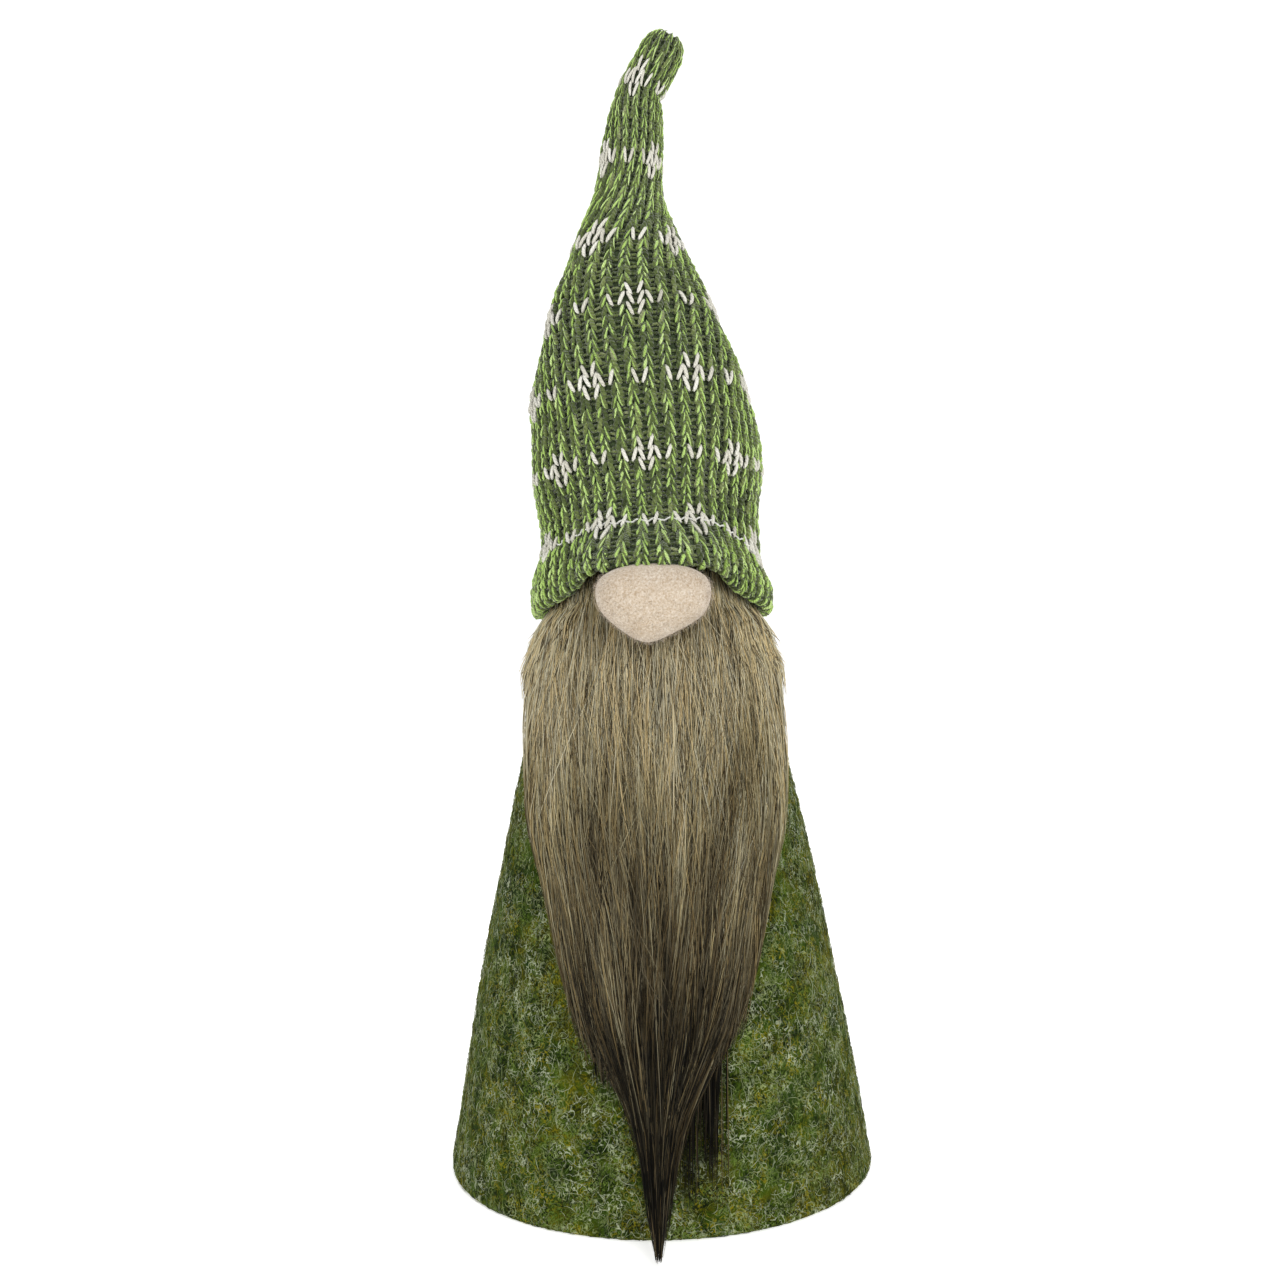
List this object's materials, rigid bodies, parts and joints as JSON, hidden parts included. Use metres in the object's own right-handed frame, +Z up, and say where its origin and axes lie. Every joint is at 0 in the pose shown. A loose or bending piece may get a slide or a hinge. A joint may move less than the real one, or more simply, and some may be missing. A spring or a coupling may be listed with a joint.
{
  "type": "tomte gnome figurine",
  "caption": "Standing cloth gnome: a weighted felt cone body, a tall knitted hat with a bendable tail, a round nose and a long loose fur beard.",
  "frame": {"origin": "centre of the flat base, on the surface that the figurine stands on", "axes": "+Z is up along the cone, -Y is the face with the nose and the beard, +X is to the right seen from the front"},
  "size_m": [0.132, 0.1516, 0.3568],
  "materials": {
    "felt": "needled felt, matt, mottled olive green",
    "base_felt_slot": "needled felt, matt",
    "thread_green": "spun sewing thread",
    "thread_white": "spun sewing thread",
    "board": "grey-brown pressed board",
    "bag_cotton": "plain woven cotton",
    "sand": "dry washed sand",
    "fibrefill": "loose polyester fibre",
    "fur_backing": "knitted backing cloth",
    "fur_pile": "long combed pile, taupe at the root and near black at the tip",
    "fleece": "brushed fleece, matt",
    "hot_glue": "set hot-melt glue",
    "knit": "chunky stocking stitch, two greens with off-white flakes",
    "wire": "bare soft wire"
  },
  "bodies": {
    "root": {"felt_cone": "felt", "cone_top_felt": "felt", "back_seam_stitches": "thread_green", "base_felt": "base_felt_slot", "base_board": "board", "sand_bag": "bag_cotton", "sand_fill": "sand", "body_stuffing": "fibrefill", "beard_backing_top": "fur_backing", "beard_fur_top": "fur_pile", "nose_fleece": "fleece", "nose_stuffing": "fibrefill", "nose_knot": "thread_white", "nose_glue": "hot_glue", "hat_hem": "knit", "hem_thread": "thread_white", "hat_crown": "knit", "hat_glue": "hot_glue", "hat_stuffing": "fibrefill", "hat_wire": "wire"},
    "beard": {"beard_backing": "fur_backing", "beard_fur": "fur_pile"},
    "hat_tail": {"hat_tail": "knit", "tail_stuffing": "fibrefill", "tail_wire": "wire"},
    "hat_tip": {"hat_tip": "knit", "tip_stuffing": "fibrefill", "tip_wire": "wire"}
  },
  "joints": [
    {"name": "beard_lift", "type": "hinge", "parent": "root", "child": "beard", "pos_m": [0, -0.044, 0.15], "axis": [-1, 0, 0], "range_deg": [0, 50]},
    {"name": "tail_bend", "type": "hinge", "parent": "root", "child": "hat_tail", "pos_m": [-0.00407, 0, 0.29592], "axis": [0, 1, 0], "range_deg": [-40, 50]},
    {"name": "tip_bend", "type": "hinge", "parent": "hat_tail", "child": "hat_tip", "pos_m": [-0.00078, 0, 0.33589], "axis": [0, 1, 0], "range_deg": [-35, 55]}
  ]
}
